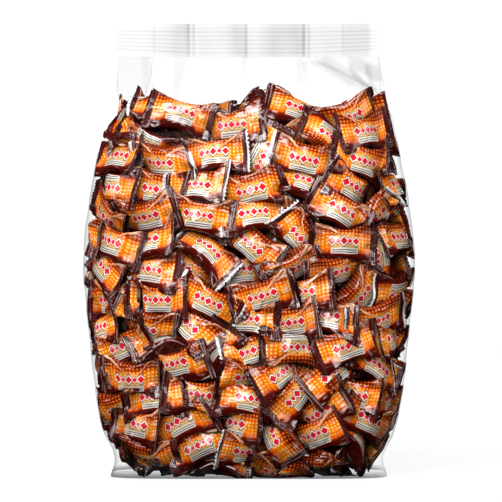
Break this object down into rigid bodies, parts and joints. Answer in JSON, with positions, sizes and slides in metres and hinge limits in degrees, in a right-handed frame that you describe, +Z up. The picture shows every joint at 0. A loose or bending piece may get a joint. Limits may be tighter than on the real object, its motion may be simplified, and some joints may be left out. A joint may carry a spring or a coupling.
{
  "type": "bag of wrapped chocolate caramels",
  "caption": "Clear side-gusset bag standing on its base, crimp-sealed across the top and filled with flow-wrapped chocolate caramels.",
  "frame": {"origin": "middle of the base, on the surface the bag stands on", "axes": "+Z up, towards the sealed top; +X along the wide front, to the right as seen from the front; the front faces -Y"},
  "size_m": [0.2433, 0.1153, 0.329],
  "materials": {
    "filled_bag": "glossy printed wrappers in brown, orange and amber seen through clear film"
  },
  "bodies": {
    "root": {"filled_bag": "filled_bag"}
  },
  "joints": []
}
